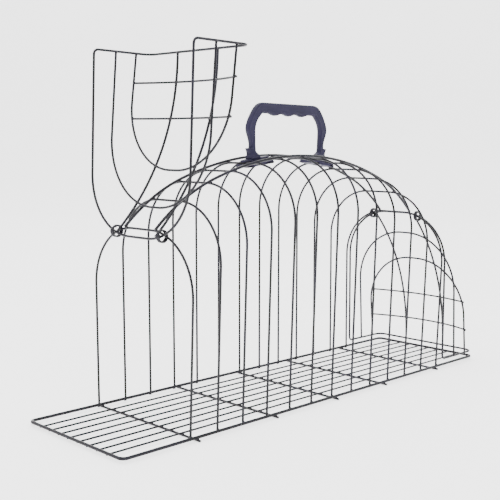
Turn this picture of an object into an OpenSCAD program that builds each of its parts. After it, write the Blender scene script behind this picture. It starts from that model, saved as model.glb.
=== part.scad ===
// Domed double-door wire cage trap for small animals.
// Origin: centre of the footprint on the ground. +X towards the rear door, +Z up.
// The rear door is drawn closed and the front door is drawn folded back on the roof.

/* [Cage] */
// Distance between two body hoops
pitch = 34; // [30:1:40]
// Floor length past the first and the last hoop
overhang = 80; // [76:1:84]
// Width of the floor between the centres of its side wires
floor_w = 148; // [144:1:152]
// Height of the roof wires at the middle of the cage
roof_z = 263; // [260:1:266]
// Distance of each roof wire from the middle plane
roof_wire_y = 23; // [21:1:24]

/* [Wires] */
// Body hoop wire diameter
hoop_d = 2.4; // [2:0.1:2.4]
// Roof wire diameter
roof_d = 3; // [2.6:0.1:3]
// Floor frame wire diameter
frame_d = 3.2; // [3:0.1:3.6]
// Floor rod diameter
rod_d = 2.0; // [1.8:0.1:2.2]
// Diameter of the cross rods under the floor
cross_d = 2.4; // [2:0.1:2.6]
// Door perimeter wire diameter
door_d = 2.5; // [2.2:0.1:2.6]
// Door arch wire diameter
arch_d = 2.4; // [2:0.1:2.4]
// Door rib wire diameter
rib_d = 2.6; // [2.4:0.1:2.8]
// Door crossbar wire diameter
bar_d = 2.2; // [1.8:0.1:2.4]

/* [Door] */
// Distance of each door rib from the middle plane
rib_y = 29.5; // [28.5:0.5:30]
// Height of the hinge line
hinge_z = 188.2; // [188:0.1:188.4]
// Height of the lower crossbar
bar_lo_z = 41; // [34:0.5:46]
// Height of the upper crossbar
bar_hi_z = 77.5; // [70:0.5:80]

/* [Handle] */
// Height of the grip above the ground
grip_top_z = 319; // [316:1:324]
// Thickness of the grip across the cage
grip_w = 7; // [6:0.5:9]

/* [Hidden] */
$fn = 24;

wire_col = "#1d1b26";
grip_col = "#332e48";

weld = 0.15;
half_w = floor_w / 2;
last_x = 6 * pitch;
end_x = last_x + overhang;
cross_z = cross_d / 2;
frame_z = cross_d + frame_d / 2 - weld;
rod_z = cross_d + rod_d / 2 - weld;

// roof line: a flat middle arc and a tighter arc at each end
mid_r = 385;
end_r = 205;
mid_a = 20.5;
mid_x = mid_r * sin(mid_a);
function roof_slope(x) = abs(x) <= mid_x ? asin(abs(x) / mid_r)
  : asin(sin(mid_a) + (abs(x) - mid_x) / end_r);
function roof_line(x) = abs(x) <= mid_x ? roof_z - mid_r * (1 - cos(roof_slope(x)))
  : roof_z - mid_r * (1 - cos(mid_a)) - end_r * (cos(mid_a) - cos(roof_slope(x)));

// hoops: flat top, round shoulders, legs that lean in a little towards the feet
foot_y = half_w - frame_d / 2 - hoop_d / 2 + weld;
foot_z = cross_d + 0.2;
hoop_flat = 17;
hoop_r = 57.5;
function hoop_drop(y) = y <= hoop_flat ? 0 : hoop_r - sqrt(hoop_r * hoop_r - (y - hoop_flat) * (y - hoop_flat));
function hoop_top(x) = roof_line(x) - (hoop_d / 2 + roof_d / 2 - weld) / cos(roof_slope(x)) + hoop_drop(roof_wire_y);

// end hoops and hinge arches: the same round arch, the hinge arch a little lower and
// further out; the hinge line runs through the rings on its shoulders
end_flat = 15;
end_hoop_r = 59.2;
hinge_arch_r = half_w - end_flat;
function arch_fall(y, flat, r) = r - sqrt(r * r - (y - flat) * (y - flat));
end_top_z = roof_line(last_x) - (hoop_d / 2 + roof_d / 2 - weld) / cos(roof_slope(last_x))
  + arch_fall(roof_wire_y, end_flat, end_hoop_r);
hinge_u = 5.2;
ring_y = 34.4;
hinge_top_z = hinge_z + arch_fall(ring_y, end_flat, hinge_arch_r);

// doors, in a section that runs out from the end hoop (u) and up (z)
rail_z = 11;
door_u = overhang + 0.3;
rib_a0 = 43.1;
rib_off = door_d / 2 + rib_d / 2 - weld;
rib_top = hinge_top_z - arch_fall(rib_y, end_flat, hinge_arch_r);
rib_r = (door_u - hinge_u + rib_off * sin(rib_a0)) / (sin(88) - sin(rib_a0));
function rib_u(a) = hinge_u - rib_off * sin(rib_a0) + rib_r * (sin(a) - sin(rib_a0));
function rib_h(a) = rib_top - rib_off * cos(rib_a0) - rib_r * (cos(rib_a0) - cos(a));
function rib_angle_at(z) = acos(cos(rib_a0) - (rib_top - rib_off * cos(rib_a0) - z) / rib_r);
arch_flat = 5;
arch_r = half_w - arch_flat;
arch_drop = arch_r - sqrt(arch_r * arch_r - (rib_y - arch_flat) * (rib_y - arch_flat));
arch_gap = rib_d / 2 + arch_d / 2 - weld;
// where each arch crosses the ribs, and where its feet stand on the rails
cross_a = [51.8, 61.9];
foot_u = [37, 62.6];
function arch_u(i) = rib_u(cross_a[i]) - arch_gap * sin(cross_a[i]);
function arch_h(i) = rib_h(cross_a[i]) - arch_gap * cos(cross_a[i]);
function arch_tilt(i) = atan((foot_u[i] - arch_u(i)) / (arch_h(i) - rail_z));
function leg_u(i, z) = arch_u(i) + (arch_h(i) - z) * tan(arch_tilt(i));
hinge_tilt = 1.6;
bend_r = 5;

// a bent wire in one plane: [length] is a straight piece, [radius, angle] is a bend,
// positive angles turn left; pieces are sleeved into one another by lap, every other
// piece a hair thicker, and lead or tail says that an end carries on into another wire
step = 0.02;
lap = 0.3;
module wire(r, p, h, segs, thick = 0, lead = 0, tail = 0, i = 0) {
  if (i < len(segs)) {
    s = segs[i];
    t = (i + thick) % 2;
    e0 = t == 1 || (i == 0 && lead == 0) ? 0 : lap;
    e1 = t == 1 || (i == len(segs) - 1 && tail == 0) ? 0 : lap;
    if (len(s) == 1) {
      q = p - e0 * [cos(h), sin(h)];
      translate([q[0], q[1], 0]) rotate([0, 0, h]) rotate([0, 90, 0]) cylinder(r = r + t * step, h = s[0] + e0 + e1);
      wire(r, p + s[0] * [cos(h), sin(h)], h, segs, thick, lead, tail, i + 1);
    } else {
      g = sign(s[1]);
      c = p + g * s[0] * [-sin(h), cos(h)];
      a = h - g * 90;
      d0 = e0 / s[0] * 180 / PI;
      d1 = e1 / s[0] * 180 / PI;
      translate([c[0], c[1], 0]) rotate([0, 0, g > 0 ? a - d0 : a + s[1] - d1])
        rotate_extrude(angle = abs(s[1]) + d0 + d1, $fn = 180) translate([s[0], 0]) circle(r = r + t * step, $fn = 24);
      wire(r, c + s[0] * [cos(a + s[1]), sin(a + s[1])], h + s[1], segs, thick, lead, tail, i + 1);
    }
  }
}
module yz(x) { translate([x, 0, 0]) rotate([90, 0, 90]) children(); }
module xz(y) { translate([0, y, 0]) rotate([90, 0, 0]) children(); }

// ---- floor ----
module floor_frame() {
  cr = 6;
  color(wire_col) translate([0, 0, frame_z])
    wire(frame_d / 2, [-end_x + cr, -half_w], 0,
      [[2 * end_x - 2 * cr], [cr, 90], [floor_w - 2 * cr], [cr, 90],
       [2 * end_x - 2 * cr], [cr, 90], [floor_w - 2 * cr], [cr, 90]], 0, 1);
}
// a floor rod, butted against each end bar of the frame
module floor_rod(n) {
  y = (n - 4.5) * 15.2;
  reach = end_x - frame_d / 2 + weld;
  color(wire_col) translate([-reach, y, rod_z]) rotate([0, 90, 0]) cylinder(d = rod_d, h = 2 * reach);
}
cross_x = [-198, -92, 4, 92, 198];
module cross_rod(n) {
  color(wire_col) translate([cross_x[n - 1], -half_w - 4, cross_z]) rotate([-90, 0, 0])
    cylinder(d = cross_d, h = floor_w + 8);
}

// ---- body hoops ----
module hoop(x, top, flat, r1, a1, r2) {
  // the leg angle follows from the widest point of the shoulder and the foot
  wide_y = flat + r1 * sin(a1) + r2 * (1 - sin(a1));
  wide_z = top - r1 * (1 - cos(a1)) - r2 * cos(a1);
  lean = atan((wide_y - foot_y) / (wide_z - foot_z));
  leg_y = flat + r1 * sin(a1) + r2 * (cos(lean) - sin(a1));
  leg = (wide_z - r2 * sin(lean) - foot_z) / cos(lean);
  start = [-leg_y + leg * sin(lean), foot_z];
  color(wire_col) yz(x) wire(hoop_d / 2, start, 90 + lean, a1 > 0
    ? [[leg], [r2, a1 - 90 - lean], [r1, -a1], [2 * flat], [r1, -a1], [r2, a1 - 90 - lean], [leg]]
    : [[leg], [r2, -90 - lean], [2 * flat], [r2, -90 - lean], [leg]]);
}
module body_hoop(n) {
  x = (n - 7) * pitch;
  if (n == 1 || n == 13) hoop(x, end_top_z, end_flat, 1, 0, end_hoop_r);
  else hoop(x, hoop_top(x), hoop_flat, 1, 0, hoop_r);
}

// ---- roof wires ----
module roof_wire(side) {
  x0 = last_x + 2;
  a0 = roof_slope(x0);
  color(wire_col) xz(side * roof_wire_y)
    wire(roof_d / 2, [-x0, roof_line(x0)], a0,
      [[end_r, -(a0 - mid_a)], [mid_r, -2 * mid_a], [end_r, -(a0 - mid_a)]]);
}

// ---- handle ----
// each foot sits on the tops of the hoops between two of them, and a plate below
// them is pulled up against it by one screw
foot_x = 1.5 * pitch;
hoop_top_in = hoop_top(pitch) + hoop_d / 2;
hoop_top_out = hoop_top(2 * pitch) + hoop_d / 2;
foot_a = atan((hoop_top_in - hoop_top_out) / pitch);
foot_mid = (hoop_top_in + hoop_top_out) / 2;
foot_w = 9;
strap = 39;
function arc_pts(c, r, a0, a1, n = 8) = [for (i = [0:n]) c + r * [cos(a0 + (a1 - a0) * i / n), sin(a0 + (a1 - a0) * i / n)]];
finger_pitch = 21.8;
function finger(x) = grip_top_z - 12.5 - 1.1 * cos(x * 360 / finger_pitch);
grip_half = concat(
  [for (i = [0:15]) let (x = i * 2.18) [x, finger(x)]],
  [[36.5, grip_top_z - 11.6]],
  arc_pts([40.5, grip_top_z - 16.4], 5, 80, 35, 4),
  [[49.3, 300.5], [51.6, 296], [52.9, 291], [52.9, 286], [52.6, 280], [52.6, 274], [51.6, 270.5]],
  [[49.4, 267.6], [47.2, foot_mid + 4.4], [45.8, foot_mid + 2.2], [60.4, foot_mid - 0.6], [61.4, foot_mid + 2], [61.2, 265.6], [59.6, 268.4], [58.7, 271.5]],
  [[58.8, 275.5], [60.2, 280], [62.4, 285], [63.9, 290], [63.6, 294.5], [61.4, 300]],
  [[58, 306], [54.6, 311], [51.6, 314.4], [48.4, 316.9], [44.8, 318.4], [41, grip_top_z]]);
module foot_place() { translate([foot_x, 0, foot_mid]) rotate([0, foot_a, 0]) children(); }
module handle_half() {
  difference() {
    union() {
      xz(grip_w / 2) linear_extrude(height = grip_w) polygon(concat(grip_half, [[0, grip_top_z]]));
      foot_place() {
        translate([-4.5, -5, 1.5]) cube([14, 10, 4]);
        translate([-strap / 2, -foot_w / 2, -0.05]) cube([strap, foot_w, 2.2]);
      }
    }
    foot_place() translate([3, 0, -1]) cylinder(r = 1.9, h = 9);
  }
}
module handle() {
  color(grip_col) { handle_half(); mirror([1, 0, 0]) handle_half(); }
}
plate_t = 3.4;
plate_w = 20;
module clamp_plate(s) {
  color(grip_col) mirror([s > 0 ? 0 : 1, 0, 0]) foot_place()
    difference() {
      union() {
        translate([-20.5, -plate_w / 2, -hoop_d - plate_t + 0.05]) cube([41, plate_w, plate_t]);
        translate([-4, -5, -hoop_d - 0.4]) cube([14, 10, hoop_d + 0.3]);
      }
      translate([3, 0, -9]) cylinder(r = 2.1, h = 12);
      // a long recess for the screw head
      translate([-4, -4.2, -hoop_d - plate_t - 0.5]) cube([14, 8.4, 2.4]);
    }
}
module screw() {
  translate([3, 0, -hoop_d - plate_t + 0.2]) {
    difference() {
      cylinder(r1 = 3.3, r2 = 3.7, h = 1.7, $fn = 48);
      for (a = [0, 90]) rotate([0, 0, a]) translate([-2.2, -0.4, -0.1]) cube([4.4, 0.8, 1]);
    }
    cylinder(r = 1.88, h = 12.5);
  }
}
module handle_screws() {
  color("#8a8a90") { foot_place() screw(); mirror([1, 0, 0]) foot_place() screw(); }
}

// ---- hinge rings: three close turns round the end hoop and the hinge arch, wide
// enough for the slope of both wires ----
ring_w = 0.85;
ring_t = 1.6;
ring_hoop_z = end_top_z - arch_fall(ring_y, end_flat, end_hoop_r);
ring_gap = sqrt(hinge_u * hinge_u + pow(ring_hoop_z - hinge_z, 2));
ring_room = [0.08, 1.45];
ring_in = (ring_gap + hoop_d / 2 + door_d / 2 + ring_room[0] + ring_room[1]) / 2;
ring_c = (ring_in - hoop_d / 2 - ring_room[0]) / ring_gap;
module hinge_rings() {
  color(wire_col) for (s = [-1, 1])
    translate([last_x + hinge_u * ring_c, s * ring_y, ring_hoop_z - (ring_hoop_z - hinge_z) * ring_c])
      rotate([90, 0, 0]) rotate_extrude($fn = 64) for (k = [-1, 0, 1])
        translate([ring_in + ring_w, k * ring_t]) circle(r = ring_w, $fn = 24);
}

// ---- doors, drawn closed at the rear end ----
module hinge_side() {
  bend_drop = bend_r * (1 - sin(hinge_tilt));
  leg = (hinge_top_z - rail_z - bend_drop) / cos(hinge_tilt) - hinge_arch_r;
  end_u = hinge_u + (hinge_arch_r + leg) * sin(hinge_tilt);
  bend_u = end_u + bend_r * cos(hinge_tilt);
  translate([hinge_u, 0, hinge_top_z]) rotate([0, -hinge_tilt, 0]) rotate([90, 0, 90])
    wire(door_d / 2, [end_flat, 0], 0, [[hinge_arch_r, -90], [leg]], 1, 0, 1);
  translate([0, half_w, 0]) rotate([90, 0, 0])
    wire(door_d / 2, [end_u, rail_z + bend_drop], hinge_tilt - 90,
      [[bend_r, 90 - hinge_tilt], [door_u - 10 - bend_u]], 1, 0, 1);
  translate([0, 0, rail_z])
    wire(door_d / 2, [door_u - 10, half_w], 0, [[10, -90]], 1);
}
module door_frame() {
  color(wire_col) {
    translate([hinge_u, -end_flat - lap, hinge_top_z]) rotate([-90, 0, 0]) cylinder(d = door_d, h = 2 * end_flat + 2 * lap);
    translate([door_u, -half_w + 10 - lap, rail_z]) rotate([-90, 0, 0]) cylinder(d = door_d, h = floor_w - 20 + 2 * lap);
    hinge_side();
    mirror([0, 1, 0]) hinge_side();
  }
}
module door_arch(i) {
  leg = (arch_h(i) - rail_z - 1.15) / cos(arch_tilt(i)) + arch_drop - arch_r;
  color(wire_col) translate([arch_u(i), 0, arch_h(i)]) rotate([0, -arch_tilt(i), 0]) rotate([90, 0, 90])
    wire(arch_d / 2, [-half_w, arch_drop - arch_r - leg], 90, [[leg], [arch_r, -90], [2 * arch_flat], [arch_r, -90], [leg]]);
}
module door_rib(side) {
  start = [rib_u(rib_a0), rib_h(rib_a0)] - 0.6 * [cos(rib_a0), -sin(rib_a0)];
  color(wire_col) xz(side * rib_y)
    wire(rib_d / 2, start, -rib_a0, [[0.6], [rib_r, rib_a0 - 88], [rib_h(88) - rail_z - door_d / 2 + 0.15]]);
}
// a crossbar is one bow: tight inside the ribs and outside the legs of arch b
arch_wide_z = arch_h(1) + arch_drop - arch_r;
function arch_half(z) = z <= arch_wide_z ? half_w : arch_flat + sqrt(arch_r * arch_r - (z - arch_wide_z) * (z - arch_wide_z));
function bow_r(d, y, r, n) = n == 0 ? r
  : bow_r(d, y, r * (sqrt(r * r - rib_y * rib_y) - sqrt(r * r - y * y)) / d, n - 1);
module door_bar(z) {
  a = rib_angle_at(z);
  y_leg = arch_half(z);
  u_rib = rib_u(a) - (rib_d / 2 + bar_d / 2 - weld) / sin(a);
  u_leg = leg_u(1, z) + arch_d / 2 + bar_d / 2 + 0.12;
  r = bow_r(u_rib - u_leg, y_leg, 200, 24);
  half = asin((y_leg + 1.3) / r);
  color(wire_col) translate([0, 0, z])
    wire(bar_d / 2, [u_rib - sqrt(r * r - rib_y * rib_y) + r * cos(half), -y_leg - 1.3], 90 - half, [[r, 2 * half]]);
}
module rear() { translate([last_x, 0, 0]) children(); }
// folded back: the closed front door turned half a turn about its hinge line
module front() { translate([-last_x - 2 * hinge_u, 0, 2 * hinge_z]) mirror([0, 0, 1]) children(); }

floor_frame();
floor_rod(1);  // floor_rod_1
floor_rod(2);  // floor_rod_2
floor_rod(3);  // floor_rod_3
floor_rod(4);  // floor_rod_4
floor_rod(5);  // floor_rod_5
floor_rod(6);  // floor_rod_6
floor_rod(7);  // floor_rod_7
floor_rod(8);  // floor_rod_8
cross_rod(1);  // cross_rod_1
cross_rod(2);  // cross_rod_2
cross_rod(3);  // cross_rod_3
cross_rod(4);  // cross_rod_4
cross_rod(5);  // cross_rod_5
body_hoop(1);  // hoop_01
body_hoop(2);  // hoop_02
body_hoop(3);  // hoop_03
body_hoop(4);  // hoop_04
body_hoop(5);  // hoop_05
body_hoop(6);  // hoop_06
body_hoop(7);  // hoop_07
body_hoop(8);  // hoop_08
body_hoop(9);  // hoop_09
body_hoop(10);  // hoop_10
body_hoop(11);  // hoop_11
body_hoop(12);  // hoop_12
body_hoop(13);  // hoop_13
roof_wire(1);  // roof_wire_left
roof_wire(-1);  // roof_wire_right
handle();
clamp_plate(-1);  // front_clamp_plate
clamp_plate(1);  // rear_clamp_plate
handle_screws();
mirror([1, 0, 0]) hinge_rings();  // front_hinge_rings
hinge_rings();  // rear_hinge_rings
front() door_frame();  // front_door_frame
front() door_arch(0);  // front_door_arch_a
front() door_arch(1);  // front_door_arch_b
front() door_rib(1);  // front_door_rib_left
front() door_rib(-1);  // front_door_rib_right
front() door_bar(bar_hi_z);  // front_door_bar_upper
front() door_bar(bar_lo_z);  // front_door_bar_lower
rear() door_frame();  // rear_door_frame
rear() door_arch(0);  // rear_door_arch_a
rear() door_arch(1);  // rear_door_arch_b
rear() door_rib(1);  // rear_door_rib_left
rear() door_rib(-1);  // rear_door_rib_right
rear() door_bar(bar_hi_z);  // rear_door_bar_upper
rear() door_bar(bar_lo_z);  // rear_door_bar_lower
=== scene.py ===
"""Looks for the domed wire cage: painted wire, moulded grip, spiral hinge rings, weld beads, studio."""
import math

import bmesh
import bpy
import numpy as np
from mathutils import Matrix, Vector, noise
from mathutils.geometry import tessellate_polygon
from mathutils.kdtree import KDTree


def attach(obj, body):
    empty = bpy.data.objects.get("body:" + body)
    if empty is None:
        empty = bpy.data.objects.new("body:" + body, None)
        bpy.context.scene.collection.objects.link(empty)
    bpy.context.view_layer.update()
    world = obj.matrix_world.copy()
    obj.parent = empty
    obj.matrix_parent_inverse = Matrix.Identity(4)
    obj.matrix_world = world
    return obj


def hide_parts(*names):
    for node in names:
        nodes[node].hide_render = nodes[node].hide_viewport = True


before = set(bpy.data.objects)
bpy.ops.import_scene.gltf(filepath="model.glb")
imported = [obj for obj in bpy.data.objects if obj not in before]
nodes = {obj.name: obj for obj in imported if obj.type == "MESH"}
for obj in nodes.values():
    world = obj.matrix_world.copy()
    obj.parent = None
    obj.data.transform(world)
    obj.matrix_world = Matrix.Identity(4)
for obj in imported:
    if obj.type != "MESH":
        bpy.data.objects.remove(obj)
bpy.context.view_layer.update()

# ---------------------------------------------------------------- wire centre lines, mm
D=math.pi/180
pitch=34.0; overhang=80.0; half_w=74.0; roof_z=263.0; roof_wire_y=23.0
hoop_d=2.4; roof_d=3.0; frame_d=3.2; rod_d=2.0; cross_d=2.4; door_d=2.5; arch_d=2.4; rib_d=2.6; bar_d=2.2
rib_y=29.5; hinge_z=188.2; bar_z={'lower':41.0,'upper':77.5}
weld=0.15; last_x=6*pitch; end_x=last_x+overhang
cross_z=cross_d/2; frame_z=cross_d+frame_d/2-weld; rod_z=cross_d+rod_d/2-weld
mid_r,end_r,mid_a=385.0,205.0,20.5
mid_x=mid_r*math.sin(mid_a*D)
def slope(x):
    x=abs(x)
    return math.asin(x/mid_r) if x<=mid_x else math.asin(math.sin(mid_a*D)+(x-mid_x)/end_r)
def roof_line(x):
    x=abs(x); s=slope(x)
    if x<=mid_x: return roof_z-mid_r*(1-math.cos(s))
    return roof_z-mid_r*(1-math.cos(mid_a*D))-end_r*(math.cos(mid_a*D)-math.cos(s))
foot_y=half_w-frame_d/2-hoop_d/2+weld; foot_z=cross_d+0.2
hoop_flat,hoop_r=17.0,57.5
def hoop_drop(y): return 0 if y<=hoop_flat else hoop_r-math.sqrt(hoop_r**2-(y-hoop_flat)**2)
def hoop_top(x): return roof_line(x)-(hoop_d/2+roof_d/2-weld)/math.cos(slope(x))+hoop_drop(roof_wire_y)
end_flat=15.0; end_hoop_r=59.2; hinge_arch_r=half_w-end_flat
def arch_fall(y,flat,r): return r-math.sqrt(r*r-(y-flat)**2)
end_top_z=roof_line(last_x)-(hoop_d/2+roof_d/2-weld)/math.cos(slope(last_x))+arch_fall(roof_wire_y,end_flat,end_hoop_r)
hinge_u=5.2; ring_y=34.4; hinge_top_z=hinge_z+arch_fall(ring_y,end_flat,hinge_arch_r)
rail_z=11.0; door_u=overhang+0.3; rib_a0=43.1; rib_off=door_d/2+rib_d/2-weld
rib_top=hinge_top_z-arch_fall(rib_y,end_flat,hinge_arch_r)
rib_r=(door_u-hinge_u+rib_off*math.sin(rib_a0*D))/(math.sin(88*D)-math.sin(rib_a0*D))
c=lambda a: math.cos(a*D); s_=lambda a: math.sin(a*D)
def rib_u(a): return hinge_u-rib_off*s_(rib_a0)+rib_r*(s_(a)-s_(rib_a0))
def rib_h(a): return rib_top-rib_off*c(rib_a0)-rib_r*(c(rib_a0)-c(a))
def rib_angle_at(z): return math.acos(c(rib_a0)-(rib_top-rib_off*c(rib_a0)-z)/rib_r)/D
arch_flat=5.0; arch_r=half_w-arch_flat
arch_drop=arch_r-math.sqrt(arch_r**2-(rib_y-arch_flat)**2)
arch_gap=rib_d/2+arch_d/2-weld
cross_a=[51.8,61.9]; foot_u=[37.0,62.6]
def arch_u(i): return rib_u(cross_a[i])-arch_gap*s_(cross_a[i])
def arch_h(i): return rib_h(cross_a[i])-arch_gap*c(cross_a[i])
def arch_tilt(i): return math.atan((foot_u[i]-arch_u(i))/(arch_h(i)-rail_z))/D
def leg_u(i,z): return arch_u(i)+(arch_h(i)-z)*math.tan(arch_tilt(i)*D)
hinge_tilt=1.6; bend_r=5.0
arch_wide_z=arch_h(1)+arch_drop-arch_r
def arch_half(z): return half_w if z<=arch_wide_z else arch_flat+math.sqrt(arch_r**2-(z-arch_wide_z)**2)
ring_w=0.85; ring_t=1.6; ring_hoop_z=end_top_z-arch_fall(ring_y,end_flat,end_hoop_r)
ring_gap=math.hypot(hinge_u,ring_hoop_z-hinge_z)
ring_in=(ring_gap+hoop_d/2+door_d/2+0.08+1.45)/2; ring_c=(ring_in-hoop_d/2-0.08)/ring_gap
def chain(p,h,segs,n=1.0):
    """points of a planar wire, about n mm apart"""
    P=[np.array(p,float)]
    for sg in segs:
        if len(sg)==1:
            k=max(1,int(sg[0]/n)); d=np.array([c(h),s_(h)])
            for i in range(1,k+1): pass
            st=P[-1]
            for i in range(1,k+1): P.append(st+d*sg[0]*i/k)
        else:
            g=1 if sg[1]>0 else -1
            cc=P[-1]+g*sg[0]*np.array([-s_(h),c(h)]); a=h-g*90
            k=max(4,int(abs(sg[1])*D*sg[0]/n))
            for i in range(1,k+1):
                t=a+sg[1]*i/k; P.append(cc+sg[0]*np.array([c(t),s_(t)]))
            h+=sg[1]
    return np.array(P)
def yz(P,x): return np.column_stack([np.full(len(P),x),P[:,0],P[:,1]])
def xz(P,y): return np.column_stack([P[:,0],np.full(len(P),y),P[:,1]])
def my(P): return P*np.array([1,-1,1])
def rot_tilt(P,tilt,u,h):
    # local (y,z) plane at origin, tilted about Y so that it leans outward going down
    x=-P[:,1]*s_(tilt); z=P[:,1]*c(tilt)
    return np.column_stack([u+x,P[:,0],h+z])
def straight(a,b,n=1.0):
    a=np.array(a,float); b=np.array(b,float); k=max(1,int(np.linalg.norm(b-a)/n))
    return a+(b-a)*np.linspace(0,1,k+1)[:,None]
def lines():
    L={}
    cr=6
    L['floor_frame']=[(np.column_stack([Q:=chain([-end_x+cr,-half_w],0,[[2*end_x-2*cr],[cr,90],[2*half_w-2*cr],[cr,90]]*2),np.full(len(Q),frame_z)]),frame_d/2)]
    reach=end_x-frame_d/2+weld
    for n in range(1,9):
        y=(n-4.5)*15.2
        L[f'floor_rod_{n}']=[(straight([-reach,y,rod_z],[reach,y,rod_z]),rod_d/2)]
    for n,x in enumerate([-198,-92,4,92,198],1):
        L[f'cross_rod_{n}']=[(straight([x,-half_w-4,cross_z],[x,half_w+4,cross_z]),cross_d/2)]
    for n in range(1,14):
        x=(n-7)*pitch
        if n in(1,13): top,fl,r1,a1,r2=end_top_z,end_flat,1,0,end_hoop_r
        else: top,fl,r1,a1,r2=hoop_top(x),hoop_flat,1,0,hoop_r
        wy=fl+r1*s_(a1)+r2*(1-s_(a1)); wz=top-r1*(1-c(a1))-r2*c(a1)
        lean=math.atan((wy-foot_y)/(wz-foot_z))/D
        ly=fl+r1*s_(a1)+r2*(c(lean)-s_(a1)); leg=(wz-r2*s_(lean)-foot_z)/c(lean)
        st=[-ly+leg*s_(lean),foot_z]
        sg=[[leg],[r2,a1-90-lean],[r1,-a1],[2*fl],[r1,-a1],[r2,a1-90-lean],[leg]] if a1>0 else [[leg],[r2,-90-lean],[2*fl],[r2,-90-lean],[leg]]
        L[f'hoop_{n:02d}']=[(yz(chain(st,90+lean,sg),x),hoop_d/2)]
    x0=last_x+2.0; a0=slope(x0)/D
    R=chain([-x0,roof_line(x0)],a0,[[end_r,-(a0-mid_a)],[mid_r,-2*mid_a],[end_r,-(a0-mid_a)]])
    L['roof_wire_left']=[(xz(R,roof_wire_y),roof_d/2)]; L['roof_wire_right']=[(xz(R,-roof_wire_y),roof_d/2)]
    door={}
    ttl=hinge_arch_r; bd=bend_r*(1-s_(hinge_tilt))
    leg=(hinge_top_z-rail_z-bd)/c(hinge_tilt)-ttl
    end_u=hinge_u+(ttl+leg)*s_(hinge_tilt); bu=end_u+bend_r*c(hinge_tilt)
    side=rot_tilt(chain([end_flat,0],0,[[hinge_arch_r,-90],[leg]]),hinge_tilt,hinge_u,hinge_top_z)
    b2=xz(chain([end_u,rail_z+bd],hinge_tilt-90,[[bend_r,90-hinge_tilt],[door_u-10-bu]]),half_w)
    b3=chain([door_u-10,half_w],0,[[10,-90]]); b3=np.column_stack([b3,np.full(len(b3),rail_z)])
    bar=straight([door_u,half_w-10,rail_z],[door_u,-half_w+10,rail_z])
    half=np.vstack([side,b2[1:],b3[1:]])
    top=straight([hinge_u,-end_flat,hinge_top_z],[hinge_u,end_flat,hinge_top_z])
    door['frame']=[(np.vstack([top,half[1:],bar[1:],my(half)[::-1][1:]]),door_d/2)]
    for i,nm in enumerate('ab'):
        lg=(arch_h(i)-rail_z-1.15)/c(arch_tilt(i))+arch_drop-arch_r
        P=chain([-half_w,arch_drop-arch_r-lg],90,[[lg],[arch_r,-90],[2*arch_flat],[arch_r,-90],[lg]])
        door['arch_'+nm]=[(rot_tilt(P,arch_tilt(i),arch_u(i),arch_h(i)),arch_d/2)]
    st=np.array([rib_u(rib_a0),rib_h(rib_a0)])-0.6*np.array([c(rib_a0),-s_(rib_a0)])
    P=chain(st,-rib_a0,[[0.6],[rib_r,rib_a0-88],[rib_h(88)-rail_z-door_d/2+0.15]])
    door['rib_left']=[(xz(P,rib_y),rib_d/2)]; door['rib_right']=[(xz(P,-rib_y),rib_d/2)]
    for nm,z in bar_z.items():
        a=rib_angle_at(z); yl=arch_half(z); ur=rib_u(a)-(rib_d/2+bar_d/2-weld)/s_(a); ul=leg_u(1,z)+arch_d/2+bar_d/2+0.12
        r=200.0
        for _ in range(24): r=r*(math.sqrt(r*r-rib_y**2)-math.sqrt(r*r-yl**2))/(ur-ul)
        hf=math.asin((yl+1.3)/r)/D
        P=chain([ur-math.sqrt(r*r-rib_y**2)+r*c(hf),-yl-1.3],90-hf,[[r,2*hf]])
        door['bar_'+nm]=[(np.column_stack([P,np.full(len(P),z)]),bar_d/2)]
    for k,v in door.items():
        L['rear_door_'+k]=[(p+[last_x,0,0],r) for p,r in v]
        L['front_door_'+k]=[(p*[1,1,-1]+[-last_x-2*hinge_u,0,2*hinge_z],r) for p,r in v]
    return L


MM = 0.001


def body_of(name):
    for b in ("front_door", "rear_door"):
        if name.startswith(b):
            return b
    return "root"


# ---------------------------------------------------------------- camera at the photo's view
def camera():
    az, el, roll = math.radians(-45.59), math.radians(7.29), math.radians(0.73)
    back = Vector((math.sin(az) * math.cos(el), -math.cos(az) * math.cos(el), math.sin(el)))
    x = Vector((0, 0, 1)).cross(back).normalized()
    y = back.cross(x)
    xr = math.cos(roll) * x + math.sin(roll) * y
    yr = -math.sin(roll) * x + math.cos(roll) * y
    m = Matrix((xr, yr, back)).transposed().to_4x4()
    m.translation = Vector((-0.72645, -0.66282, 0.27004))
    cam = bpy.data.cameras.new("camera")
    cam.sensor_width = 36.0
    cam.sensor_fit = "HORIZONTAL"
    cam.lens = 881.42 / 500 * 36
    cam.shift_x = (250 - 254.36) / 500
    cam.shift_y = -(250 - 261.35) / 500
    cam.clip_start = 0.02
    cam.clip_end = 50
    ob = bpy.data.objects.new("camera", cam)
    bpy.context.collection.objects.link(ob)
    ob.matrix_world = m
    bpy.context.scene.camera = ob


camera()


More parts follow.
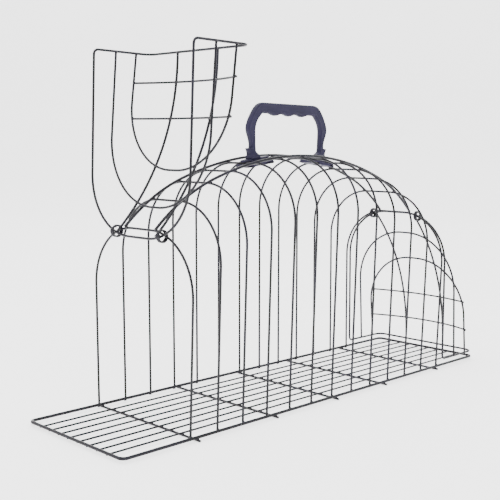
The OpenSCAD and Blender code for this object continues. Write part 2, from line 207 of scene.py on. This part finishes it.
# ---------------------------------------------------------------- materials
class Mat:
    """A small helper: nodes by type, links by name."""

    def __init__(self, name):
        self.m = bpy.data.materials.new(name)
        self.m.use_nodes = True
        self.t = self.m.node_tree
        self.bsdf = self.t.nodes["Principled BSDF"]
        self.co = self.node("ShaderNodeTexCoord").outputs["Object"]

    def node(self, kind, **props):
        n = self.t.nodes.new(kind)
        for k, v in props.items():
            setattr(n, k, v)
        return n

    def link(self, a, b):
        self.t.links.new(a, b)

    def noise(self, scale, detail=4, rough=0.55, co=None):
        n = self.node("ShaderNodeTexNoise")
        n.inputs["Scale"].default_value = scale
        n.inputs["Detail"].default_value = detail
        n.inputs["Roughness"].default_value = rough
        self.link(co or self.co, n.inputs["Vector"])
        return n.outputs["Fac"]

    def ramp(self, fac, stops):
        r = self.node("ShaderNodeValToRGB")
        e = r.color_ramp.elements
        while len(e) < len(stops):
            e.new(0.5)
        for el, (p, c) in zip(e, stops):
            el.position = p
            el.color = (*c, 1) if len(c) == 3 else c
        self.link(fac, r.inputs["Fac"])
        return r.outputs["Color"]

    def mix(self, fac, a, b, kind="MIX"):
        n = self.node("ShaderNodeMix", data_type="RGBA", blend_type=kind)
        if isinstance(fac, (int, float)):
            n.inputs["Factor"].default_value = fac
        else:
            self.link(fac, n.inputs["Factor"])
        for sock, v in (("A", a), ("B", b)):
            s = [i for i in n.inputs if i.name == sock and i.type == "RGBA"][0]
            if isinstance(v, tuple):
                s.default_value = (*v, 1)
            else:
                self.link(v, s)
        return [o for o in n.outputs if o.type == "RGBA"][0]

    def remap(self, fac, lo, hi, a=0.0, b=1.0):
        n = self.node("ShaderNodeMapRange")
        self.link(fac, n.inputs["Value"])
        for k, v in (("From Min", a), ("From Max", b), ("To Min", lo), ("To Max", hi)):
            n.inputs[k].default_value = v
        return n.outputs["Result"]

    def bump(self, height, strength, dist, after=None):
        n = self.node("ShaderNodeBump")
        n.inputs["Strength"].default_value = strength
        n.inputs["Distance"].default_value = dist
        self.link(height, n.inputs["Height"])
        if after is not None:
            self.link(after, n.inputs["Normal"])
        return n.outputs["Normal"]


def lin(h):
    v = [int(h[i : i + 2], 16) / 255 for i in (1, 3, 5)]
    return tuple(c / 12.92 if c <= 0.04045 else ((c + 0.055) / 1.055) ** 2.4 for c in v)


def wire_material():
    m = Mat("wire_paint")
    # colour: near-black paint with a navy cast, thinner and greyer in patches
    broad = m.noise(14, 3)
    fine = m.noise(420, 5, 0.6)
    base = m.ramp(broad, [(0.32, lin("#08080c")), (0.52, lin("#100f17")), (0.72, lin("#191824"))])
    dust = m.ramp(fine, [(0.55, (0, 0, 0)), (0.78, (1, 1, 1))])
    col = m.mix(m.remap(dust, 0.0, 0.3), base, lin("#2b2938"))
    m.link(col, m.bsdf.inputs["Base Color"])
    m.link(m.remap(m.noise(170, 4), 0.26, 0.44, 0.3, 0.7), m.bsdf.inputs["Roughness"])
    # dipped paint: shallow orange peel with fine grit over it
    peel = m.bump(m.noise(700, 2), 0.35, 0.00016)
    grit = m.bump(m.noise(2600, 3), 0.25, 0.00005, peel)
    m.link(grit, m.bsdf.inputs["Normal"])
    m.bsdf.inputs["Metallic"].default_value = 0.0
    m.bsdf.inputs["Specular IOR Level"].default_value = 0.22
    m.bsdf.inputs["Coat Weight"].default_value = 0.04
    m.bsdf.inputs["Coat Roughness"].default_value = 0.18
    return m.m


def weld_material():
    m = Mat("weld_paint")
    rough = m.noise(900, 4)
    m.link(m.ramp(rough, [(0.35, lin("#0a090e")), (0.7, lin("#1d1b27"))]), m.bsdf.inputs["Base Color"])
    m.link(m.remap(m.noise(500, 3), 0.34, 0.55, 0.3, 0.7), m.bsdf.inputs["Roughness"])
    m.link(m.bump(m.noise(1500, 3), 0.5, 0.00025), m.bsdf.inputs["Normal"])
    m.bsdf.inputs["Coat Weight"].default_value = 0.05
    m.bsdf.inputs["Coat Roughness"].default_value = 0.25
    return m.m


def grip_material():
    m = Mat("grip_plastic")
    broad = m.noise(22, 3)
    base = m.ramp(broad, [(0.3, lin("#17142a")), (0.55, lin("#1c1831")), (0.75, lin("#221d39"))])
    speck = m.ramp(m.noise(1300, 4, 0.6), [(0.5, (0, 0, 0)), (0.8, (1, 1, 1))])
    m.link(m.mix(m.remap(speck, 0.0, 0.25), base, lin("#332d4b")), m.bsdf.inputs["Base Color"])
    m.link(m.remap(m.noise(260, 4), 0.42, 0.58, 0.3, 0.7), m.bsdf.inputs["Roughness"])
    # spark-eroded mould grain
    v = m.node("ShaderNodeTexVoronoi", feature="F1")
    v.inputs["Scale"].default_value = 1500
    m.link(m.co, v.inputs["Vector"])
    grain = m.bump(v.outputs["Distance"], 0.3, 0.00012)
    m.link(m.bump(m.noise(3500, 2), 0.2, 0.00005, grain), m.bsdf.inputs["Normal"])
    m.bsdf.inputs["Specular IOR Level"].default_value = 0.2
    return m.m


def screw_material():
    m = Mat("screw_steel")
    m.link(m.ramp(m.noise(900, 4), [(0.35, lin("#6f6f76")), (0.7, lin("#a9a9b0"))]), m.bsdf.inputs["Base Color"])
    m.link(m.remap(m.noise(1400, 3), 0.28, 0.45, 0.3, 0.7), m.bsdf.inputs["Roughness"])
    m.link(m.bump(m.noise(2400, 2), 0.2, 0.00005), m.bsdf.inputs["Normal"])
    m.bsdf.inputs["Metallic"].default_value = 1.0
    return m.m


WIRE, WELD, GRIP, SCREW = wire_material(), weld_material(), grip_material(), screw_material()


def dress(ob, mat):
    ob.data.materials.clear()
    ob.data.materials.append(mat)


for name, ob in nodes.items():
    dress(ob, GRIP if name == "handle" or name.endswith("clamp_plate") else SCREW if name == "handle_screws" else WIRE)


def mesh_object(name, verts, faces, mat, body, smooth=True):
    me = bpy.data.meshes.new(name)
    me.from_pydata([tuple(v) for v in verts], [], faces)
    me.validate()
    if smooth:
        me.polygons.foreach_set("use_smooth", [True] * len(me.polygons))
    ob = bpy.data.objects.new(name, me)
    bpy.context.collection.objects.link(ob)
    ob.data.materials.append(mat)
    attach(ob, body)
    return ob


# ---------------------------------------------------------------- weld beads where wires cross
LINES = lines()


def crossings():
    out = {"root": [], "front_door": [], "rear_door": []}
    flat = [(n, np.asarray(p), r) for n, v in LINES.items() for p, r in v[:1]]
    trees = []
    for n, p, r in flat:
        t = KDTree(len(p))
        for i, q in enumerate(p):
            t.insert(q, i)
        t.balance()
        trees.append(t)
    for i, (n, p, r) in enumerate(flat):
        for j in range(i + 1, len(flat)):
            m, q, s = flat[j]
            if body_of(n) != body_of(m) or (p.min(0) - 5 > q.max(0)).any() or (q.min(0) - 5 > p.max(0)).any():
                continue
            small, tree, other, rs, ro = (p, trees[j], q, r, s) if len(p) < len(q) else (q, trees[i], p, s, r)
            hits = [(k, *tree.find(a)) for k, a in enumerate(small)]
            near = [(k, co, ix, d) for k, co, ix, d in hits if d < rs + ro + 0.9]
            runs = []
            for h in near:
                if runs and h[0] - runs[-1][-1][0] <= 3:
                    runs[-1].append(h)
                else:
                    runs.append([h])
            for run in runs:
                k, co, ix, d = min(run, key=lambda h: h[3])
                a = small[k]
                ta = small[min(k + 1, len(small) - 1)] - small[max(k - 1, 0)]
                tb = other[min(ix + 1, len(other) - 1)] - other[max(ix - 1, 0)]
                ta, tb = Vector(ta).normalized(), Vector(tb).normalized()
                # closest points of the two local lines
                w = Vector(a) - Vector(co)
                b = ta.dot(tb)
                den = 1 - b * b
                if den > 0.05:
                    sa = (b * tb.dot(w) - ta.dot(w)) / den
                    sb = (tb.dot(w) - b * ta.dot(w)) / den
                    sa, sb = max(-1.2, min(1.2, sa)), max(-1.2, min(1.2, sb))
                    A, B = Vector(a) + sa * ta, Vector(co) + sb * tb
                else:
                    A, B = Vector(a), Vector(co)
                dd = (B - A).length
                if dd > rs + ro + 0.25 or dd < 0.3:
                    if dd > rs + ro + 0.25:
                        continue
                c = A + (B - A) * (rs / (rs + ro))
                nrm = (B - A).normalized() if dd > 0.3 else Vector((0, 0, 1))
                out[body_of(n)].append((c, nrm, ta, tb, rs, ro))
    return out


def ico(sub):
    bm = bmesh.new()
    bmesh.ops.create_icosphere(bm, subdivisions=sub, radius=1)
    v = [x.co.copy() for x in bm.verts]
    f = [[x.index for x in fc.verts] for fc in bm.faces]
    bm.free()
    return v, f


def welds():
    sv, sf = ico(2)
    for body, marks in crossings().items():
        V, F = [], []
        for idx, (c, n, ta, tb, ra, rb) in enumerate(marks):
            t1 = ta
            t2 = n.cross(t1).normalized()
            t1 = t2.cross(n).normalized()
            base = len(V)
            seed = Vector((idx * 3.7, idx * 1.3, 0))
            for v in sv:
                k = 1 + 0.16 * noise.noise(v * 1.7 + seed)
                # squashed bead: widest in the plane of the two wires
                p = c + (n * v.z * 1.02 + t1 * v.x * (rb + 0.62) + t2 * v.y * (ra + 0.62)) * k
                V.append(p * MM)
            F += [[i + base for i in f] for f in sf]
        if V:
            mesh_object(f"weld_beads_{body}", V, F, WELD, body)
        print("welds", body, len(marks))


welds()


# ---------------------------------------------------------------- spiral hinge rings
def tube(points, r, seg=14, caps=True):
    """A swept round wire with rounded ends, as verts and faces (mm)."""
    P = [Vector(p) for p in points]
    n = len(P)
    T = [((P[min(i + 1, n - 1)] - P[max(i - 1, 0)]).normalized()) for i in range(n)]
    up = T[0].orthogonal().normalized()
    V, F = [], []
    rings = []

    def ring(c, t, u, rad):
        s = len(V)
        w = t.cross(u)
        for k in range(seg):
            a = 2 * math.pi * k / seg
            V.append(c + rad * (math.cos(a) * u + math.sin(a) * w))
        rings.append(s)

    frames = []
    for i in range(n):
        up = (up - T[i] * up.dot(T[i])).normalized()
        frames.append(up.copy())
    for a in (60, 30):
        ring(P[0] - T[0] * r * math.sin(math.radians(a)), T[0], frames[0], r * math.cos(math.radians(a)))
    for i in range(n):
        ring(P[i], T[i], frames[i], r)
    for a in (30, 60):
        ring(P[-1] + T[-1] * r * math.sin(math.radians(a)), T[-1], frames[-1], r * math.cos(math.radians(a)))
    for a, b in zip(rings[:-1], rings[1:]):
        for k in range(seg):
            F.append([a + k, a + (k + 1) % seg, b + (k + 1) % seg, b + k])
    V.append(P[0] - T[0] * r)
    V.append(P[-1] + T[-1] * r)
    for k in range(seg):
        F.append([len(V) - 2, rings[0] + (k + 1) % seg, rings[0] + k])
        F.append([len(V) - 1, rings[-1] + k, rings[-1] + (k + 1) % seg])
    return V, F


for side, sx in (("front", -1), ("rear", 1)):
    V, F = [], []
    for sy in (-1, 1):
        cx, cz = sx * (last_x + hinge_u * ring_c), ring_hoop_z - (ring_hoop_z - hinge_z) * ring_c
        turns, R = 2.9, ring_in + ring_w
        pts = []
        for i in range(int(turns * 40) + 1):
            t = i / 40
            a = 2 * math.pi * t + 0.9
            pts.append((cx + sx * R * math.cos(a), sy * ring_y + (t - turns / 2) * 1.62 * sy, cz + R * math.sin(a)))
        v, f = tube(pts, ring_w)
        F += [[i + len(V) for i in q] for q in f]
        V += v
    ob = mesh_object(f"hinge_coils_{side}", [v * MM for v in V], F, WIRE, "root")
    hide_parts(f"{side}_hinge_rings")


# ---------------------------------------------------------------- moulded carry handle
GT, GW = 319.0, 7.0
foot_x = 1.5 * pitch
top_in, top_out = hoop_top(pitch) + hoop_d / 2, hoop_top(2 * pitch) + hoop_d / 2
foot_a = math.atan((top_in - top_out) / pitch)
foot_mid = (top_in + top_out) / 2


def arc_pts(cx, cz, r, a0, a1, n):
    return [(cx + r * c(a0 + (a1 - a0) * i / n), cz + r * s_(a0 + (a1 - a0) * i / n)) for i in range(n + 1)]


def smooth_outline(pts, step_mm=0.8, rounds=3):
    """Resamples a closed outline evenly and relaxes it a little."""
    P = np.array(pts, float)
    P = np.vstack([P, P[:1]])
    d = np.r_[0, np.cumsum(np.linalg.norm(np.diff(P, axis=0), axis=1))]
    n = int(d[-1] / step_mm)
    t = np.linspace(0, d[-1], n, endpoint=False)
    Q = np.column_stack([np.interp(t, d, P[:, 0]), np.interp(t, d, P[:, 1])])
    for _ in range(rounds):
        Q = 0.5 * Q + 0.25 * (np.roll(Q, 1, 0) + np.roll(Q, -1, 0))
        Q = Q + 0.26 * (Q - 0.5 * Q - 0.25 * (np.roll(Q, 1, 0) + np.roll(Q, -1, 0)))
    return Q


def grip_outline():
    half = [(x * 1.09, GT - 12.5 - 1.1 * math.cos(math.radians(x * 1.09 * 360 / 21.8))) for x in range(31)]
    half += [(34.6, GT - 11.4), (36.5, GT - 11.45)]
    half += arc_pts(40.5, GT - 16.4, 5, 80, 35, 5)
    half += [(49.3, 300.5), (51.6, 296), (52.9, 291), (52.9, 286), (52.6, 280), (52.6, 275), (52.2, 271)]
    half += [(51.4, foot_mid + 6), (60.2, foot_mid + 3), (58.9, 271), (58.8, 275.5), (60.2, 280), (62.4, 285)]
    half += [(63.9, 290), (63.6, 294.5), (61.4, 300), (58, 306), (54.6, 311), (51.6, 314.4), (48.4, 316.9)]
    half += [(44.8, 318.4), (41, GT), (30, GT), (15, GT)]
    left = [(-x, z) for x, z in half[::-1] if x > 0]
    return half + [(0, GT)] + left


def grip_mesh():
    Q = smooth_outline(grip_outline(), 0.9, 2)
    n = len(Q)
    area = 0.5 * np.sum(Q[:, 0] * np.roll(Q[:, 1], -1) - np.roll(Q[:, 0], -1) * Q[:, 1])
    T = np.roll(Q, -1, 0) - np.roll(Q, 1, 0)
    T /= np.linalg.norm(T, axis=1)[:, None]
    N = np.column_stack([-T[:, 1], T[:, 0]]) * (1 if area > 0 else -1)
    for _ in range(4):
        N = 0.5 * N + 0.25 * (np.roll(N, 1, 0) + np.roll(N, -1, 0))
        N /= np.linalg.norm(N, axis=1)[:, None]
    r = 2.1
    prof = [(GW / 2 - r * (1 - math.sin(math.radians(a))), r * (1 - math.cos(math.radians(a)))) for a in (0, 15, 30, 45, 60, 75, 90)]
    # a support ring, then a face that is slightly dished inside a raised rim
    prof += [(GW / 2, r + 0.35), (GW / 2 - 0.3, r + 0.75)]
    order = [(-y, o) for y, o in prof[::-1]]
    order += [(-0.35, 0.0), (-0.12, -0.10), (0.12, -0.10), (0.35, 0.0)]
    order += list(prof)
    V, rings = [], []
    for y, o in order:
        rings.append(len(V))
        for i in range(n):
            V.append(((Q[i, 0] + N[i, 0] * o) * MM, y * MM, (Q[i, 1] + N[i, 1] * o) * MM))
    F = []
    for a, b in zip(rings[:-1], rings[1:]):
        for i in range(n):
            j = (i + 1) % n
            F.append([a + i, a + j, b + j, b + i])
    # flat side faces on vertices of their own, so that no shading runs across them
    for base, back in ((rings[0], False), (rings[-1], True)):
        start = len(V)
        V += V[base : base + n]
        poly = [Vector((V[base + i][0], V[base + i][2], 0)) for i in range(n)]
        for t in tessellate_polygon([poly]):
            t = [start + i for i in t]
            p, q, w = (Vector(V[i]) for i in t)
            up = (q - p).cross(w - p).y > 0
            F.append(t if up == back else t[::-1])
    me = bpy.data.meshes.new("grip")
    me.from_pydata(V, [], F)
    bm = bmesh.new()
    bm.from_mesh(me)
    for f in bm.faces:
        f.smooth = len(f.verts) == 4
    # the swept skin points outwards
    skin = [f for f in bm.faces if len(f.verts) == 4]
    bmesh.ops.recalc_face_normals(bm, faces=skin)
    bm.normal_update()
    top = max(skin, key=lambda f: f.calc_center_median().z)
    if top.normal.z < 0:
        bmesh.ops.reverse_faces(bm, faces=skin)
    bm.to_mesh(me)
    bm.free()
    return me


def foot_frame(s):
    """Foot space to model space, mm: x along the cage outwards, z off the hoop tops."""
    m = Matrix.Translation(Vector((foot_x, 0, foot_mid))) @ Matrix.Rotation(foot_a, 4, "Y")
    return (Matrix.Scale(-1, 4, Vector((1, 0, 0))) @ m) if s < 0 else m


def superellipse(cx, ax, ay, p, k=48):
    out = []
    for i in range(k):
        t = 2 * math.pi * i / k
        ct, st = math.cos(t), math.sin(t)
        out.append((cx + ax * math.copysign(abs(ct) ** (2 / p), ct), ay * math.copysign(abs(st) ** (2 / p), st)))
    return out


def loft(sections, s):
    """sections: (z, cx, ax, ay, power). Closed at both ends."""
    m = foot_frame(s)
    V, F, k = [], [], 48
    for z, cx, ax, ay, p in sections:
        for x, y in superellipse(cx, ax, ay, p, k):
            V.append((m @ Vector((x, y, z))) * MM)
    for r in range(len(sections) - 1):
        for i in range(k):
            j = (i + 1) % k
            q = [r * k + i, r * k + j, (r + 1) * k + j, (r + 1) * k + i]
            F.append(q if s > 0 else q[::-1])
    F.append(list(range(k))[::-1] if s > 0 else list(range(k)))
    top = [(len(sections) - 1) * k + i for i in range(k)]
    F.append(top if s > 0 else top[::-1])
    return V, F


def add_part(me, V, F):
    bm = bmesh.new()
    bm.from_mesh(me)
    vs = [bm.verts.new(v) for v in V]
    for f in F:
        fc = bm.faces.new([vs[i] for i in f])
        fc.smooth = len(f) == 4
    bm.to_mesh(me)
    bm.free()


def handle():
    me = grip_mesh()
    for s in (1, -1):
        # a flared foot: flange with soft edges, then a concave sweep up to the neck
        V, F = loft(
            [(-0.05, 0, 19.0, 4.1, 5), (0.4, 0, 19.5, 4.5, 5), (1.5, 0, 19.5, 4.5, 5), (1.95, 0, 19.0, 4.1, 5),
             (2.1, 0, 18.2, 3.6, 5)], s)
        add_part(me, V, F)
        V, F = loft(
            [(1.0, 2.5, 7.6, 5.0, 6), (4.2, 2.5, 7.6, 5.0, 6), (5.0, 2.6, 7.2, 4.9, 6), (5.6, 2.8, 6.6, 4.6, 6),
             (6.4, 3.2, 6.0, 4.3, 5), (7.6, 3.8, 5.4, 4.0, 5), (9.2, 4.6, 4.9, 3.75, 5), (11.2, 5.6, 4.5, 3.6, 5),
             (13.6, 6.9, 4.2, 3.45, 5)], s)
        add_part(me, V, F)
    ob = bpy.data.objects.new("carry_handle", me)
    bpy.context.collection.objects.link(ob)
    me.materials.append(GRIP)
    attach(ob, "root")
    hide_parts("handle")


handle()


def rounded_slab(x0, x1, y0, y1, z0, z1, r, s, hole=None):
    """A box with rounded vertical corners and softened top and bottom edges, in foot space."""
    m = foot_frame(s)
    k = 8
    def outline(inset):
        rr = max(r - inset, 0.2)
        out = []
        for cx, cy, a0 in ((x1 - inset - rr, y1 - inset - rr, 0), (x0 + inset + rr, y1 - inset - rr, 90),
                           (x0 + inset + rr, y0 + inset + rr, 180), (x1 - inset - rr, y0 + inset + rr, 270)):
            for i in range(k + 1):
                out.append((cx + rr * c(a0 + 90 * i / k), cy + rr * s_(a0 + 90 * i / k)))
        return out
    e = 0.7
    lv = [(z0, e), (z0 + e * 0.3, e * 0.3), (z0 + e, 0), (z1 - e, 0), (z1 - e * 0.3, e * 0.3), (z1, e)]
    V, F = [], []
    n = 4 * (k + 1)
    for z, ins in lv:
        V += [(m @ Vector((x, y, z))) * MM for x, y in outline(ins)]
    for q in range(len(lv) - 1):
        for i in range(n):
            j = (i + 1) % n
            f = [q * n + i, q * n + j, (q + 1) * n + j, (q + 1) * n + i]
            F.append(f if s > 0 else f[::-1])
    bot, top = list(range(n))[::-1], [(len(lv) - 1) * n + i for i in range(n)]
    F.append(bot if s > 0 else bot[::-1])
    F.append(top if s > 0 else top[::-1])
    return V, F


def clamp_plates():
    for nm, s in (("rear", 1), ("front", -1)):
        t = 3.4
        zb = -hoop_d - t + 0.05
        me = bpy.data.meshes.new("clamp")
        parts = [
            # the plate is a tray: a rim round a long recess that holds the screw head
            rounded_slab(-20.5, 20.5, -10, 10, zb + 1.7, zb + t, 4, s),
            rounded_slab(-20.5, 20.5, 4.2, 10, zb, zb + 2.4, 2.4, s),
            rounded_slab(-20.5, 20.5, -10, -4.2, zb, zb + 2.4, 2.4, s),
            rounded_slab(10, 20.5, -10, 10, zb, zb + 2.4, 2.4, s),
            rounded_slab(-20.5, -4, -10, 10, zb, zb + 2.4, 2.4, s),
            rounded_slab(-4, 10, -5, 5, zb + t - 0.6, -0.1, 2, s),
        ]
        for V, F in parts:
            add_part(me, V, F)
        ob = bpy.data.objects.new(f"clamp_{nm}", me)
        bpy.context.collection.objects.link(ob)
        me.materials.append(GRIP)
        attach(ob, "root")
        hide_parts(f"{nm}_clamp_plate")


clamp_plates()


# ---------------------------------------------------------------- studio
def studio():
    me = bpy.data.meshes.new("floor")
    # a floor that sweeps up behind the cage
    prof = [(-6.0, 0.0), (2.2, 0.0)]
    for i in range(1, 17):
        a = math.radians(90 * i / 16)
        prof.append((2.2 + 1.5 * math.sin(a), 1.5 * (1 - math.cos(a))))
    prof.append((3.7, 7.0))
    d = Vector((0.7247, 0.6891, 0)).normalized()
    side = Vector((-d.y, d.x, 0))
    V, F = [], []
    for u, z in prof:
        for w in (-9, 9):
            p = d * u + side * w
            V.append((p.x, p.y, z))
    for i in range(len(prof) - 1):
        F.append([2 * i, 2 * i + 1, 2 * i + 3, 2 * i + 2])
    me.from_pydata(V, [], F)
    me.polygons.foreach_set("use_smooth", [True] * len(me.polygons))
    ob = bpy.data.objects.new("floor", me)
    bpy.context.collection.objects.link(ob)
    m = Mat("studio_paper")
    m.link(m.ramp(m.noise(3, 2), [(0.3, (0.90, 0.90, 0.905)), (0.7, (0.93, 0.93, 0.93))]), m.bsdf.inputs["Base Color"])
    m.bsdf.inputs["Roughness"].default_value = 0.9
    m.bsdf.inputs["Emission Color"].default_value = (1, 1, 1, 1)
    m.bsdf.inputs["Emission Strength"].default_value = 1.5
    m.bsdf.inputs["Specular IOR Level"].default_value = 0.1
    me.materials.append(m.m)

    def area(name, loc, target, size, power):
        l = bpy.data.lights.new(name, "AREA")
        l.shape = "DISK"
        l.size = size
        l.energy = power
        o = bpy.data.objects.new(name, l)
        bpy.context.collection.objects.link(o)
        o.location = loc
        o.rotation_euler = (Vector(target) - Vector(loc)).to_track_quat("-Z", "Y").to_euler()

    area("key", (-0.9, -1.6, 2.2), (0, 0, 0.1), 1.8, 52)
    area("fill", (-2.2, 0.6, 1.4), (0, 0, 0.15), 2.0, 30)
    area("top", (0.4, 0.5, 2.6), (0, 0, 0), 3.0, 46)
    w = bpy.data.worlds.new("studio")
    bpy.context.scene.world = w
    w.use_nodes = True
    w.node_tree.nodes["Background"].inputs["Color"].default_value = (1, 1, 1, 1)
    w.node_tree.nodes["Background"].inputs["Strength"].default_value = 1.1


studio()
